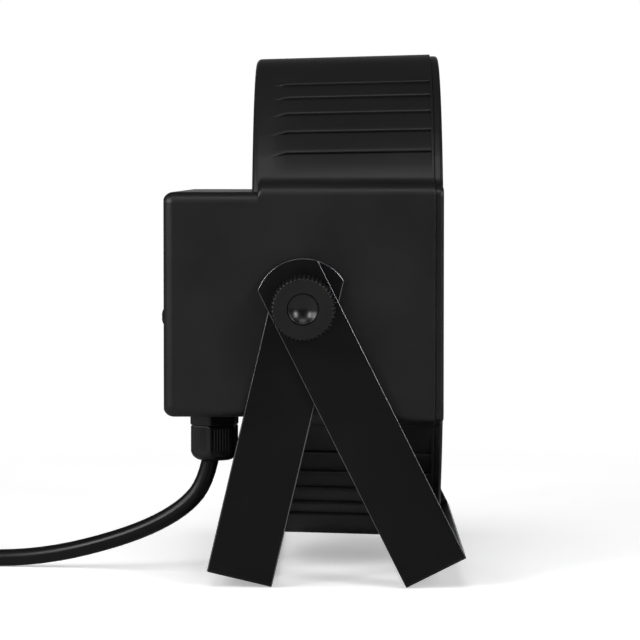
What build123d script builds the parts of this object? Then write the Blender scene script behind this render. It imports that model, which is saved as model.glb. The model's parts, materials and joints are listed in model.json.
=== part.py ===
"""A flat LED par can: a moulded head on a double steel yoke, with its clamp knobs, gland and cord.

Millimetres. +X is the way the light shines, +Z is up, and both yokes turn on one axis along Y.
The origin is on the floor, below the middle of the lamp without its cord.
"""

import os
from math import acos, atan2, cos, degrees, hypot, pi, radians, sin, sqrt, tan

from build123d import *

os.makedirs("parts", exist_ok=True)

# Yokes: two steel strips bent to a U, one inside the other, that lean apart and stand on the floor
strip_width = 30.0
strip_thick = 2.0
strip_end_r = 21.7
strip_bend_r = 4.5
inner_reach = 126.0
outer_reach = 133.4
inner_lean = 13.3
pivot_hole_r = 4.3
hanging_hole_r = 5.25

# Head: a drafted round drum with a flat ear at each side, and a box across its back
half_width = 116.0
drum_back_r = 113.4
drum_lip_r = 115.7
ear_half = 50.5
head_rise = 0.8
drum_back_from_axis = -23.5
lip_from_axis = 59.0
box_back_from_axis = -63.5
wall = 3.0
corner_r = 5.2
cove_r = 7.0
drum_rim_r = 3.4
box_rim_r = 4.8

# Louvres moulded into the drum, five to a quarter
louvre_count = 5
louvre_first = 36.7
louvre_pitch = 6.25
louvre_depth = 1.6
louvre_tip_from_axis = -15.0
louvre_knee_from_axis = -8.0
louvre_end_from_axis = 57.8

# Front
bezel_inset = 0.85
bezel_thick = 3.8
bezel_edge = 1.3
bezel_open_r = 103.0
spigot_r = 112.3
spigot_deep = 5.0
lens_plate_r = 105.8
lens_plate_thick = 3.0
lens_rings = ((24, 92.0), (18, 69.0), (12, 46.0))
lens_r = 9.7
lens_high = 2.5
board_r = 103.0
board_thick = 1.6
board_behind_lip = 14.0
sink_thick = 4.0
fin_high = 22.0
fin_thick = 2.0
fin_pitch = 12.0
fin_pairs = 5

# Back panel and what it carries
run_gap = 0.08
panel_sunk = 0.8
panel_thick = 2.8
panel_gap = 0.3
screw_head_high = 1.4
fan_side = 70.0
fan_deep = 15.0
fan_bore_r = 33.0
fan_hub_r = 14.0
fan_blades = 7
display_y = 69.0
display_rise = 14.0
button_y = (48.0, 62.0, 76.0, 90.0)
button_names = ("menu_button", "down_button", "up_button", "enter_button")
button_drop = 16.0
button_r = 3.0
socket_y = (-60.0, -89.0)
socket_rise = 4.0

# Clamp on each side, counted outwards from the ear's flat face
face_gap = 0.05
liner_thick = 1.0
spacer_thick = 0.8
captive_thick = 1.2
insert_r = 6.0
insert_long = 15.0
stud_r = 4.0
stud_bore_r = 4.05
knob_back_r = 15.25
knob_front_r = 13.7
knob_high = 21.75
knob_teeth = 45
tooth_deep = 0.9
cap_r = 6.8
cap_high = 3.2

# Cable gland under the box, on the left side, and the cord
gland_from_axis = -43.0
gland_y = -50.0
gland_flats = 21.7
nut_flats = 21.4
collar_high = 8.0
nut_high = 16.2
nut_round = 3.9
cord_r = 4.0

# Worked out from the above
axis_z = inner_reach * cos(radians(inner_lean)) + strip_width / 2 * sin(radians(inner_lean))
outer_lean = degrees(
    atan2(strip_width / 2, outer_reach) + acos(axis_z / hypot(outer_reach, strip_width / 2))
)
front_reach = outer_reach * sin(radians(outer_lean)) + strip_width / 2 * cos(radians(outer_lean))
back_reach = screw_head_high - panel_sunk - box_back_from_axis
axis_x = (back_reach - front_reach) / 2
head_z = axis_z + head_rise
drum_back = axis_x + drum_back_from_axis
lip_x = axis_x + lip_from_axis
box_back = axis_x + box_back_from_axis
rim_x = drum_back + drum_rim_r
inside_back = drum_back + wall
panel_out = box_back + panel_sunk
panel_in = panel_out + panel_thick
board_front = lip_x - board_behind_lip + board_thick
sink_back = board_front - board_thick - sink_thick
head_axis = Axis((0, 0, head_z), (1, 0, 0))
inner_leg = half_width + liner_thick + face_gap
spacer_y = inner_leg + strip_thick + face_gap
outer_leg = spacer_y + spacer_thick + face_gap
captive_y = outer_leg + strip_thick + face_gap
knob_y = captive_y + captive_thick + face_gap
print("axis", round(axis_x, 3), round(axis_z, 3), "outer lean", round(outer_lean, 3))


def stub(radius, sides=10):
    """Small round shank, post or head, in flat facets inside its circle."""
    RegularPolygon(radius, sides)


def bore(radius, sides=10, mode=Mode.ADD):
    """Small round hole, in flat facets outside its circle."""
    RegularPolygon(radius, sides, major_radius=False, mode=mode)


def keep(part, name):
    """Labels a finished piece and writes it."""
    part.label = name
    export_step(part, "parts/" + name + ".step")


def drum_radius(x):
    """Outer radius of the drafted drum at x."""
    share = (x - drum_back) / (lip_x - drum_back)
    return drum_back_r + share * (drum_lip_r - drum_back_r)


def head_outline(x, inset=0.0):
    """Section across the drum at x, with its two ears, each flowing into the drum by a cove."""
    reach = half_width - inset
    with BuildSketch(Plane.YZ.offset(x)) as outline:
        with Locations((0, head_z)):
            Circle(drum_radius(x) - inset)
            Rectangle(2 * reach, 2 * (ear_half - inset))
        coves = [v for v in outline.vertices() if abs(v.X) < reach - 1]
        fillet(coves, cove_r + inset)
        corners = [v for v in outline.vertices() if abs(v.X) > reach - 0.01]
        fillet(corners, corner_r - inset)
    return outline.sketch


def on_drum(x, angle, depth):
    """Y and Z of a point at an angle above the drum's middle, so far below its surface at x."""
    radius = drum_radius(x) - depth
    return (radius * cos(radians(angle)), head_z + radius * sin(radians(angle)))


def cove_section(x):
    """Cove between the drum and the ear's flat top, in one quarter, cutting a hair into both."""
    radius = drum_radius(x)
    sweep_r = cove_r + 0.05
    middle_z = ear_half + cove_r
    middle_y = sqrt((radius + cove_r) ** 2 - middle_z**2)
    share = 1 - sweep_r / (radius + cove_r)
    on_round = (middle_y * share, middle_z * share)
    on_flat = (middle_y, middle_z - sweep_r)
    lean_y = (on_round[0] + on_flat[0]) / 2 - middle_y
    lean_z = (on_round[1] + on_flat[1]) / 2 - middle_z
    grow = sweep_r / hypot(lean_y, lean_z)
    between = (middle_y + grow * lean_y, head_z + middle_z + grow * lean_z)
    start = (on_round[0], head_z + on_round[1])
    end = (on_flat[0], head_z + on_flat[1])
    with BuildSketch(Plane.YZ.offset(x)) as section:
        with BuildLine():
            ThreePointArc(start, between, end)
            Polyline(end, (on_flat[0] - 3, end[1] - 1.5), (start[0] - 2.5, start[1] - 3.5), start)
        make_face()
    return section.sketch


def louvre_section(x, angle, depth, spread):
    """Section of one louvre's cut: a square step at the angle, then a slope back to the surface."""
    with BuildSketch(Plane.YZ.offset(x)) as section:
        with BuildLine():
            Polyline(
                on_drum(x, angle, -1.5),
                on_drum(x, angle, depth),
                on_drum(x, angle - 1.25 * spread, -0.25 * depth),
                on_drum(x, angle - 1.25 * spread, -1.5),
                close=True,
            )
        make_face()
    return section.sketch


# Louvre cuts of one quarter, copied to the other three
with BuildPart() as louvre_cuts:
    for index in range(louvre_count):
        angle = louvre_first + index * louvre_pitch
        tip = louvre_section(axis_x + louvre_tip_from_axis, angle - 1.2, 0.05, 0.8)
        knee_x = axis_x + louvre_knee_from_axis
        knee = louvre_section(knee_x, angle, louvre_depth, 0.84 * louvre_pitch)
        end_x = axis_x + louvre_end_from_axis
        end = louvre_section(end_x, angle, louvre_depth, 0.84 * louvre_pitch)
        loft([tip, knee, end], ruled=True)
    mirror(about=Plane.XZ)
    mirror(about=Plane.XY.offset(head_z))

# Main housing: drum, ears and rear box in one moulding
panel_screws_at = [
    (side * (half_width - wall - 4.5), rise) for side in (-1, 1) for rise in (-41.5, -5.5, 41.5)
]
sink_posts_at = [(y, z) for y in (-78, 78) for z in (-58, 58)]
supply_posts_at = [(y, z) for y in (-48, 48) for z in (-88, -60)]
bezel_screw_angles = (45, 90, 135, 225, 270, 315)
bezel_screws_at = [
    (108.6 * cos(radians(a)), head_z + 108.6 * sin(radians(a))) for a in bezel_screw_angles
]
with BuildPart() as coves:
    loft([cove_section(rim_x), cove_section(lip_x)], ruled=True)
    mirror(about=Plane.XZ)
    mirror(about=Plane.XY.offset(head_z))
with BuildPart() as main_housing:
    # rear box with its rounded back edge, carried on to the ears beside the drum
    with BuildSketch(Plane.YZ.offset(box_back)):
        with Locations((0, head_z)):
            RectangleRounded(2 * half_width, 2 * ear_half, corner_r)
    extrude(amount=lip_x - box_back)
    fillet(main_housing.faces().sort_by(Axis.X)[0].edges(), box_rim_r)
    # drum, drafted towards the back, with its rear edge rounded off in three steps
    with BuildSketch(Plane.XZ):
        with BuildLine():
            edge_z = head_z + drum_radius(rim_x) - drum_rim_r
            steps = [(rim_x - drum_rim_r * cos(a), edge_z + drum_rim_r * sin(a)) for a in (0, pi / 6, pi / 3)]
            Polyline(
                (drum_back, head_z),
                *steps,
                (rim_x, head_z + drum_radius(rim_x)),
                (lip_x, head_z + drum_lip_r),
                (lip_x, head_z),
                close=True,
            )
        make_face()
    revolve(axis=head_axis)
    add(coves.part)
    # hollow, open to the front and to the back of the box
    with BuildSketch(Plane.XZ):
        with BuildLine():
            Polyline(
                (inside_back, head_z),
                (inside_back, head_z + drum_radius(inside_back) - wall),
                (lip_x + 1, head_z + drum_radius(lip_x + 1) - wall),
                (lip_x + 1, head_z),
                close=True,
            )
        make_face()
    revolve(axis=head_axis, mode=Mode.SUBTRACT)
    with BuildSketch(Plane.YZ.offset(box_back - 1)):
        with Locations((0, head_z)):
            RectangleRounded(2 * (half_width - wall), 2 * (ear_half - wall), corner_r - wall)
    extrude(amount=lip_x + 2 - box_back, mode=Mode.SUBTRACT)
    add(louvre_cuts.part, mode=Mode.SUBTRACT)
    # radial air slots in the drum's back, above and below the box
    with BuildSketch(Plane.YZ.offset(drum_back - 1)):
        with Locations((0, head_z)):
            for middle in (90, 270):
                with PolarLocations(92, 11, middle - 40, 80, endpoint=True):
                    Rectangle(16, 3)
    extrude(amount=wall + 2, mode=Mode.SUBTRACT)
    # posts for the heat sink and the power supply
    with BuildSketch(Plane.YZ.offset(inside_back - 0.5)):
        with Locations([(y, head_z + z) for y, z in sink_posts_at]):
            stub(5)
    extrude(amount=sink_back - inside_back + 0.5)
    with BuildSketch(Plane.YZ.offset(inside_back - 0.5)):
        with Locations([(y, head_z + z) for y, z in supply_posts_at]):
            stub(3.2)
    extrude(amount=6.5)
    # bosses for the back panel's screws and the bezel's screws
    with BuildSketch(Plane.YZ.offset(panel_in)):
        with Locations([(y, head_z + z) for y, z in panel_screws_at]):
            stub(5)
    extrude(amount=16)
    with BuildSketch(Plane.YZ.offset(lip_x - 20)):
        with Locations(bezel_screws_at):
            stub(4.5)
    extrude(amount=20 - spigot_deep)
    with BuildSketch(Plane.YZ.offset(panel_in)):
        with Locations([(y, head_z + z) for y, z in panel_screws_at]):
            bore(1.5, 8)
    extrude(amount=12, mode=Mode.SUBTRACT)
    with BuildSketch(Plane.YZ.offset(lip_x - 18)):
        with Locations(bezel_screws_at):
            bore(1.5, 8)
    extrude(amount=20, mode=Mode.SUBTRACT)
    # bosses for the pivot inserts
    for side in (-1, 1):
        face = Plane(origin=(axis_x, side * half_width, axis_z), x_dir=(1, 0, 0), z_dir=(0, side, 0))
        with BuildSketch(face.offset(-wall + 0.5)):
            stub(insert_r + 4, 16)
        extrude(amount=-(insert_long + 2.5))
        with BuildSketch(face):
            bore(insert_r, 16)
        extrude(amount=-insert_long, mode=Mode.SUBTRACT)
    # gland hole
    with BuildSketch(Plane.XY.offset(head_z - ear_half - 1)):
        with Locations((axis_x + gland_from_axis, gland_y)):
            bore(7.6, 16)
    extrude(amount=wall + 2, mode=Mode.SUBTRACT)
keep(main_housing.part, "main_housing")

# Front bezel: the head's outline, set in a little from the lip, with a spigot inside the housing
with BuildPart() as front_bezel:
    extrude(head_outline(lip_x, bezel_inset), amount=bezel_thick)
    chamfer(front_bezel.faces().sort_by(Axis.X)[-1].edges(), bezel_edge)
    with BuildSketch(Plane.YZ.offset(lip_x - spigot_deep)):
        with Locations((0, head_z)):
            stub(spigot_r, 48)
    extrude(amount=spigot_deep)
    with BuildSketch(Plane.YZ.offset(lip_x - spigot_deep - 1)):
        with Locations((0, head_z)):
            bore(bezel_open_r, 48)
    extrude(amount=spigot_deep + bezel_thick + 2, mode=Mode.SUBTRACT)
    with BuildSketch(Plane.YZ.offset(lip_x - spigot_deep - 1)):
        with Locations((0, head_z)):
            bore(lens_plate_r + 0.2, 48)
    extrude(amount=spigot_deep + 1 + 1.6, mode=Mode.SUBTRACT)
    with BuildSketch(Plane.YZ.offset(lip_x - spigot_deep - 1)):
        with Locations(bezel_screws_at):
            bore(1.7, 8)
    extrude(amount=spigot_deep + bezel_thick + 2, mode=Mode.SUBTRACT)
    with BuildSketch(Plane.YZ.offset(lip_x + bezel_thick - 1.6)):
        with Locations(bezel_screws_at):
            bore(3.2, 10)
    extrude(amount=3, mode=Mode.SUBTRACT)
keep(front_bezel.part, "front_bezel")


def screw_group(plane, places, head_r, head_high, shank_r, shank_long):
    """Like screws with their heads standing on the plane and their shanks behind it."""
    with BuildPart() as screws:
        with BuildSketch(plane):
            with Locations(places):
                stub(head_r, 10)
        extrude(amount=head_high)
        with BuildSketch(plane):
            with Locations(places):
                stub(shank_r, 6)
        extrude(amount=-shank_long)
    return screws.part


bezel_screws = screw_group(Plane.YZ.offset(lip_x + bezel_thick - 1.6), bezel_screws_at, 3.0, 1.3, 1.4, 16)
keep(bezel_screws, "bezel_screws")

# Lens plate: one clear moulding with a low round lens over each emitter
with BuildPart() as lens_plate:
    with BuildSketch(Plane.YZ.offset(lip_x + 1.6 - lens_plate_thick)):
        with Locations((0, head_z)):
            stub(lens_plate_r, 48)
    extrude(amount=lens_plate_thick)
    for count, ring_r in lens_rings:
        with BuildSketch(Plane.YZ.offset(lip_x + 1.6)):
            with Locations((0, head_z)):
                with PolarLocations(ring_r, count):
                    RegularPolygon(lens_r, 6)
        extrude(amount=lens_high, taper=24)
keep(lens_plate.part, "lens_plate")

# LED board, with one square emitter behind each lens
with BuildPart() as led_board:
    with BuildSketch(Plane.YZ.offset(board_front - board_thick)):
        with Locations((0, head_z)):
            stub(board_r, 36)
    extrude(amount=board_thick)
keep(led_board.part, "led_board")
with BuildPart() as led_emitters:
    with BuildSketch(Plane.YZ.offset(board_front)):
        with Locations((0, head_z)):
            for count, ring_r in lens_rings:
                with PolarLocations(ring_r, count):
                    Rectangle(5, 5)
    extrude(amount=1.6)
keep(led_emitters.part, "led_emitters")

# Heat sink: a round plate behind the board, with straight upright fins
with BuildPart() as heat_sink:
    with BuildSketch(Plane.YZ.offset(sink_back)):
        with Locations((0, head_z)):
            stub(board_r, 36)
    extrude(amount=sink_thick)
    with BuildSketch(Plane.YZ.offset(sink_back - fin_high)):
        for index in range(-fin_pairs, fin_pairs + 1):
            y = index * fin_pitch
            with Locations((y, head_z)):
                Rectangle(fin_thick, 2 * sqrt(96**2 - y**2))
    extrude(amount=fin_high)
keep(heat_sink.part, "heat_sink")

# Power supply in the lower half of the drum
supply_x = inside_back + 6
with BuildPart() as power_supply_board:
    with BuildSketch(Plane.YZ.offset(supply_x)):
        with Locations((0, head_z - 74)):
            Rectangle(106, 38)
    extrude(amount=1.6)
keep(power_supply_board.part, "power_supply_board")
with BuildPart() as power_transformer:
    with BuildSketch(Plane.YZ.offset(supply_x + 1.6)):
        with Locations((-14, head_z - 74)):
            Rectangle(28, 24)
    extrude(amount=19)
keep(power_transformer.part, "power_transformer")
with BuildPart() as power_capacitors:
    with BuildSketch(Plane.YZ.offset(supply_x + 1.6)):
        with Locations((-40, head_z - 70), (22, head_z - 70)):
            stub(7, 16)
    extrude(amount=17)
keep(power_capacitors.part, "power_capacitors")

# Back panel
panel_places = [(y, head_z + z) for y, z in panel_screws_at]
fan_corners = [(y, head_z + z) for y in (-30, 30) for z in (-30, 30)]
board_corners = [(display_y + y, head_z + z) for y in (-27, 27) for z in (-27, 31)]
socket_places = [(y, head_z + socket_rise) for y in socket_y]
socket_screws = [(y + d, head_z + socket_rise + e) for y in socket_y for d, e in ((-9.5, 12), (9.5, -12))]
with BuildPart() as back_panel:
    with BuildSketch(Plane.YZ.offset(panel_out)):
        with Locations((0, head_z)):
            RectangleRounded(2 * (half_width - wall - panel_gap), 2 * (ear_half - wall - panel_gap), 1.9)
            for index in range(-5, 6):
                with Locations((index * 6, 0)):
                    Rectangle(3.4, 2 * sqrt(fan_bore_r**2 - (index * 6) ** 2), mode=Mode.SUBTRACT)
        with Locations((display_y, head_z + display_rise)):
            Rectangle(44.4, 20.4, mode=Mode.SUBTRACT)
        with Locations([(y, head_z - button_drop) for y in button_y]):
            bore(button_r + run_gap, 12, mode=Mode.SUBTRACT)
        with Locations(socket_places):
            bore(11.6, 24, mode=Mode.SUBTRACT)
        with Locations(panel_places + fan_corners):
            bore(1.7, 8, mode=Mode.SUBTRACT)
        with Locations(socket_screws):
            bore(1.3, 6, mode=Mode.SUBTRACT)
    extrude(amount=panel_thick)
    with BuildSketch(Plane.YZ.offset(panel_in)):
        with Locations(board_corners):
            Rectangle(6, 6)
    extrude(amount=9)
keep(back_panel.part, "back_panel")
keep(screw_group(Plane.YZ.offset(panel_out), panel_places, 3.5, -screw_head_high, 1.4, -13), "panel_screws")
keep(screw_group(Plane.YZ.offset(panel_out), fan_corners, 2.7, -1.2, 1.5, -17), "fan_screws")

# Fan: a square frame screwed to the panel, a motor base on four struts, and the rotor on its pin
with BuildPart() as fan_frame:
    with BuildSketch(Plane.YZ.offset(panel_in)):
        with Locations((0, head_z)):
            RectangleRounded(fan_side, fan_side, 4)
            bore(fan_bore_r, 28, mode=Mode.SUBTRACT)
        with Locations(fan_corners):
            bore(1.7, 8, mode=Mode.SUBTRACT)
    extrude(amount=fan_deep)
    with BuildSketch(Plane.YZ.offset(panel_in + fan_deep - 3)):
        with Locations((0, head_z)):
            stub(fan_hub_r - 1, 14)
            with GridLocations(0, 0, 1, 1):
                Rectangle(2 * fan_bore_r + 1, 3, rotation=45)
                Rectangle(2 * fan_bore_r + 1, 3, rotation=-45)
    extrude(amount=3)
    with BuildSketch(Plane.YZ.offset(panel_in + 5)):
        with Locations((0, head_z)):
            stub(10, 16)
    extrude(amount=fan_deep - 7.5)
    with BuildSketch(Plane.YZ.offset(panel_in + 4)):
        with Locations((0, head_z)):
            Circle(1.5 + run_gap)
    extrude(amount=fan_deep, mode=Mode.SUBTRACT)
keep(fan_frame.part, "fan_frame")
with BuildPart() as fan_rotor:
    with BuildSketch(Plane.YZ.offset(panel_in + 1.5)):
        with Locations((0, head_z)):
            stub(fan_hub_r, 20)
    extrude(amount=10)
    for index in range(fan_blades):
        turn = radians(360 / fan_blades * index)
        radial = (0, cos(turn), sin(turn))
        root = Plane(origin=(panel_in + 6.3, 0, head_z), x_dir=(1, 0, 0), z_dir=radial)
        with BuildSketch(root.offset(fan_hub_r - 0.9)):
            Rectangle(1.6, 12, rotation=-55)
        extrude(amount=fan_bore_r - fan_hub_r + 0.1)
    with BuildSketch(Plane.YZ.offset(panel_in + 3.3)):
        with Locations((0, head_z)):
            stub(fan_hub_r - 1.4, 20)
    extrude(amount=9, mode=Mode.SUBTRACT)
    with BuildSketch(Plane.YZ.offset(panel_in + 3)):
        with Locations((0, head_z)):
            Circle(1.5)
    extrude(amount=fan_deep - 4)
keep(fan_rotor.part, "fan_rotor")

# Menu display, its window, the control board and the four buttons
board_x = panel_in + 9
with BuildPart() as display_window:
    with BuildSketch(Plane.YZ.offset(panel_in - 2.2)):
        with Locations((display_y, head_z + display_rise)):
            Rectangle(44, 20)
    extrude(amount=2.2)
    with BuildSketch(Plane.YZ.offset(panel_in)):
        with Locations((display_y, head_z + display_rise)):
            Rectangle(48, 23)
    extrude(amount=0.8)
keep(display_window.part, "display_window")
with BuildPart() as display_module:
    with BuildSketch(Plane.YZ.offset(panel_in + 0.9)):
        with Locations((display_y, head_z + display_rise)):
            Rectangle(40, 16)
    extrude(amount=8.1)
keep(display_module.part, "display_module")
with BuildPart() as control_board:
    with BuildSketch(Plane.YZ.offset(board_x)):
        with Locations((display_y, head_z + 2)):
            Rectangle(62, 70)
    extrude(amount=1.6)
keep(control_board.part, "control_board")
with BuildPart() as tact_switches:
    with BuildSketch(Plane.YZ.offset(panel_in + 5.1)):
        with Locations([(y, head_z - button_drop) for y in button_y]):
            Rectangle(6, 6)
    extrude(amount=3.9)
keep(tact_switches.part, "tact_switches")
for name, y in zip(button_names, button_y):
    with BuildPart() as button:
        for start, radius, long in ((-4, button_r, 4.1), (0.1, 4.2, 1.2), (1.3, 2.0, 2.7)):
            with BuildSketch(Plane.YZ.offset(panel_in + start)):
                with Locations((y, head_z - button_drop)):
                    stub(radius, 12)
            extrude(amount=long)
    keep(button.part, name)


def socket_shell(y):
    """Round panel socket: a flat flange outside the panel and a barrel through it."""
    with BuildPart() as shell:
        with BuildSketch(Plane.YZ.offset(panel_out - 1.2)):
            with Locations((y, head_z + socket_rise)):
                RectangleRounded(26, 31, 2.5)
        extrude(amount=1.2)
        with BuildSketch(Plane.YZ.offset(panel_out)):
            with Locations((y, head_z + socket_rise)):
                stub(11.5, 18)
        extrude(amount=16.5)
        with BuildSketch(Plane.YZ.offset(panel_out - 1.2)):
            with Locations((y, head_z + socket_rise)):
                bore(9.3, 18)
        extrude(amount=18, mode=Mode.SUBTRACT)
        own_screws = [(a, b) for a, b in socket_screws if abs(a - y) < 12]
        with BuildSketch(Plane.YZ.offset(panel_out - 1.2)):
            with Locations(own_screws):
                bore(2.35, 12)
        extrude(amount=0.7, mode=Mode.SUBTRACT)
        with BuildSketch(Plane.YZ.offset(panel_out - 1.2)):
            with Locations(own_screws):
                bore(1.3, 6)
        extrude(amount=2, mode=Mode.SUBTRACT)
    return shell.part


def contact_places(y):
    """The three contacts of a socket, on one circle."""
    turns = (radians(90), radians(210), radians(330))
    return [(y + 4 * cos(t), head_z + socket_rise + 4 * sin(t)) for t in turns]


keep(socket_shell(socket_y[0]), "dmx_in_shell")
keep(socket_shell(socket_y[1]), "dmx_out_shell")
with BuildPart() as dmx_in_insert:
    with BuildSketch(Plane.YZ.offset(panel_out + 13)):
        with Locations((socket_y[0], head_z + socket_rise)):
            stub(9.3, 18)
        with Locations(contact_places(socket_y[0])):
            bore(1.2, 8, mode=Mode.SUBTRACT)
    extrude(amount=3.5)
keep(dmx_in_insert.part, "dmx_in_insert")
with BuildPart() as dmx_in_pins:
    with BuildSketch(Plane.YZ.offset(panel_out + 0.5)):
        with Locations(contact_places(socket_y[0])):
            stub(1.15, 8)
    extrude(amount=18)
keep(dmx_in_pins.part, "dmx_in_pins")
with BuildPart() as dmx_out_insert:
    with BuildSketch(Plane.YZ.offset(panel_out - 0.4)):
        with Locations((socket_y[1], head_z + socket_rise)):
            stub(9.3, 18)
        with Locations(contact_places(socket_y[1])):
            bore(1.4, 8, mode=Mode.SUBTRACT)
    extrude(amount=16.9)
keep(dmx_out_insert.part, "dmx_out_insert")
keep(screw_group(Plane.YZ.offset(panel_out - 0.5), socket_screws, 2.3, -0.65, 1.2, -6), "dmx_screws")


def side_plane(side, y):
    """Plane facing outwards on the turning axis, so far from the middle."""
    return Plane(origin=(axis_x, side * y, axis_z), x_dir=(1, 0, 0), z_dir=(0, side, 0))


def washer(side, y, outer, thick):
    """Flat washer on the turning axis."""
    with BuildPart() as body:
        with BuildSketch(side_plane(side, y)):
            stub(outer, 24)
            bore(4.1, 12, mode=Mode.SUBTRACT)
        extrude(amount=thick)
    return body.part


with BuildPart() as pivot_inserts:
    for side in (-1, 1):
        with BuildSketch(side_plane(side, half_width)):
            stub(insert_r, 16)
            bore(stud_bore_r, 16, mode=Mode.SUBTRACT)
        extrude(amount=-insert_long)
keep(pivot_inserts.part, "pivot_inserts")
with BuildPart() as yoke_washers:
    for side in (-1, 1):
        add(washer(side, half_width, 15, liner_thick))
        add(washer(side, spacer_y, 12, spacer_thick))
keep(yoke_washers.part, "yoke_washers")


def yoke(lean, leg_y, reach):
    """Strip bent to a U: its legs hang at a lean from the turning axis, with a hole across the bar."""
    down = (sin(radians(lean)), 0, -cos(radians(lean)))
    across = (cos(radians(lean)), 0, sin(radians(lean)))
    pivot = (axis_x, 0, axis_z)
    bar = tuple(p + (reach + 1) * d for p, d in zip(pivot, down))
    outside = leg_y + strip_thick
    tall = reach + strip_end_r
    with BuildPart() as strip:
        with BuildSketch(Plane(origin=pivot, x_dir=(0, 1, 0), z_dir=[-c for c in across])) as bent:
            with Locations((0, reach - tall / 2)):
                Rectangle(2 * outside, tall)
            fillet(bent.vertices().group_by(Axis.Y)[-1], strip_bend_r)
            with BuildSketch(mode=Mode.SUBTRACT) as hollow:
                with Locations((0, reach - strip_thick - tall / 2)):
                    Rectangle(2 * leg_y, tall)
                fillet(hollow.vertices().group_by(Axis.Y)[-1], strip_bend_r - strip_thick)
        extrude(amount=strip_width / 2, both=True)
        with BuildSketch(Plane(origin=pivot, x_dir=across, z_dir=(0, 1, 0))):
            Circle(strip_end_r)
            with Locations((0, reach / 2 + 1)):
                Rectangle(strip_width + 2, reach + 2)
        extrude(amount=outside + 1, both=True, mode=Mode.INTERSECT)
        with BuildSketch(Plane(origin=pivot, x_dir=across, z_dir=(0, 1, 0))):
            Circle(pivot_hole_r)
        extrude(amount=outside + 1, both=True, mode=Mode.SUBTRACT)
        with BuildSketch(Plane(origin=bar, x_dir=(0, 1, 0), z_dir=down)):
            Circle(hanging_hole_r)
        extrude(amount=-strip_thick - 2, mode=Mode.SUBTRACT)
    return strip.part


keep(yoke(-inner_lean, inner_leg, inner_reach), "inner_yoke")
keep(yoke(outer_lean, outer_leg, outer_reach), "outer_yoke")


def star(plane, radius):
    """Knurled outline: one tooth after another round a circle."""
    points = []
    for index in range(2 * knob_teeth):
        reach = radius - tooth_deep * (index % 2)
        turn = pi * index / knob_teeth
        points.append((reach * cos(turn), reach * sin(turn)))
    with BuildSketch(plane) as outline:
        with BuildLine():
            Polyline(*points, close=True)
        make_face()
    return outline.sketch


def knob(side):
    """Clamp knob: knurled round its tapered side, with a bore for the stud and a seat for the cap."""
    back = side_plane(side, knob_y)
    with BuildPart() as body:
        sections = [
            star(back, knob_back_r),
            star(back.offset(knob_high - 1.1), knob_front_r),
            star(back.offset(knob_high), knob_front_r - 1.0),
        ]
        loft(sections, ruled=True)
        with BuildSketch(back):
            bore(stud_r + 0.03, 16)
        extrude(amount=12, mode=Mode.SUBTRACT)
        with BuildSketch(back.offset(knob_high - 2.2)):
            bore(cap_r + 0.05, 24)
        extrude(amount=3, mode=Mode.SUBTRACT)
        with BuildSketch(back.offset(knob_high - 0.5)):
            bore(cap_r + 1.6, 24)
        extrude(amount=1, mode=Mode.SUBTRACT)
    return body.part


def cap(side):
    """Domed cover plugged into the knob's face."""
    seat = side_plane(side, knob_y + knob_high - 2.2)
    with BuildPart() as body:
        for start, radius, high, slope in ((0, cap_r, 2.1, 0), (2.1, cap_r, 0.6, 35), (2.7, cap_r - 0.42, 0.5, 72)):
            with BuildSketch(seat.offset(start)):
                stub(radius, 18)
            extrude(amount=high, taper=slope)
    return body.part


for side, name in ((-1, "left"), (1, "right")):
    keep(washer(side, captive_y, 12.5, captive_thick), name + "_captive_washer")
    keep(knob(side), name + "_knob")
    with BuildPart() as stud:
        with BuildSketch(side_plane(side, half_width - insert_long)):
            Circle(stud_r)
        extrude(amount=knob_y + 12 - half_width + insert_long)
    keep(stud.part, name + "_knob_stud")
    keep(cap(side), name + "_knob_cap")

# Cable gland: body through the box's floor, lock nut inside, rubber seal and cap nut
gland_at = (axis_x + gland_from_axis, gland_y)
box_floor = head_z - ear_half
nut_top = box_floor - collar_high - 0.3


def hexagon(flats):
    """Hexagon with a corner towards -Y, by its width across flats."""
    RegularPolygon(flats / 2, 6, major_radius=False, rotation=30)


with BuildPart() as gland_body:
    with BuildSketch(Plane.XY.offset(box_floor - collar_high)):
        with Locations(gland_at):
            hexagon(gland_flats)
    extrude(amount=collar_high)
    with BuildSketch(Plane.XY.offset(box_floor - collar_high - 8)):
        with Locations(gland_at):
            stub(8.2, 16)
    extrude(amount=8)
    with BuildSketch(Plane.XY.offset(box_floor)):
        with Locations(gland_at):
            stub(7.5, 16)
    extrude(amount=9)
    with BuildSketch(Plane.XY.offset(box_floor - collar_high - 8)):
        with Locations(gland_at):
            bore(6.3, 16)
    extrude(amount=8, mode=Mode.SUBTRACT)
    with BuildSketch(Plane.XY.offset(box_floor - collar_high - 1)):
        with Locations(gland_at):
            bore(4.8, 16)
    extrude(amount=collar_high + 12, mode=Mode.SUBTRACT)
keep(gland_body.part, "gland_body")
with BuildPart() as gland_locknut:
    with BuildSketch(Plane.XY.offset(box_floor + wall)):
        with Locations(gland_at):
            hexagon(19)
            bore(7.55, 16, mode=Mode.SUBTRACT)
    extrude(amount=4)
keep(gland_locknut.part, "gland_locknut")
with BuildPart() as gland_seal:
    with BuildSketch(Plane.XY.offset(box_floor - collar_high - 9)):
        with Locations(gland_at):
            stub(6.2, 16)
            bore(cord_r + 0.1, 16, mode=Mode.SUBTRACT)
    extrude(amount=8.9)
keep(gland_seal.part, "gland_seal")
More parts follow.
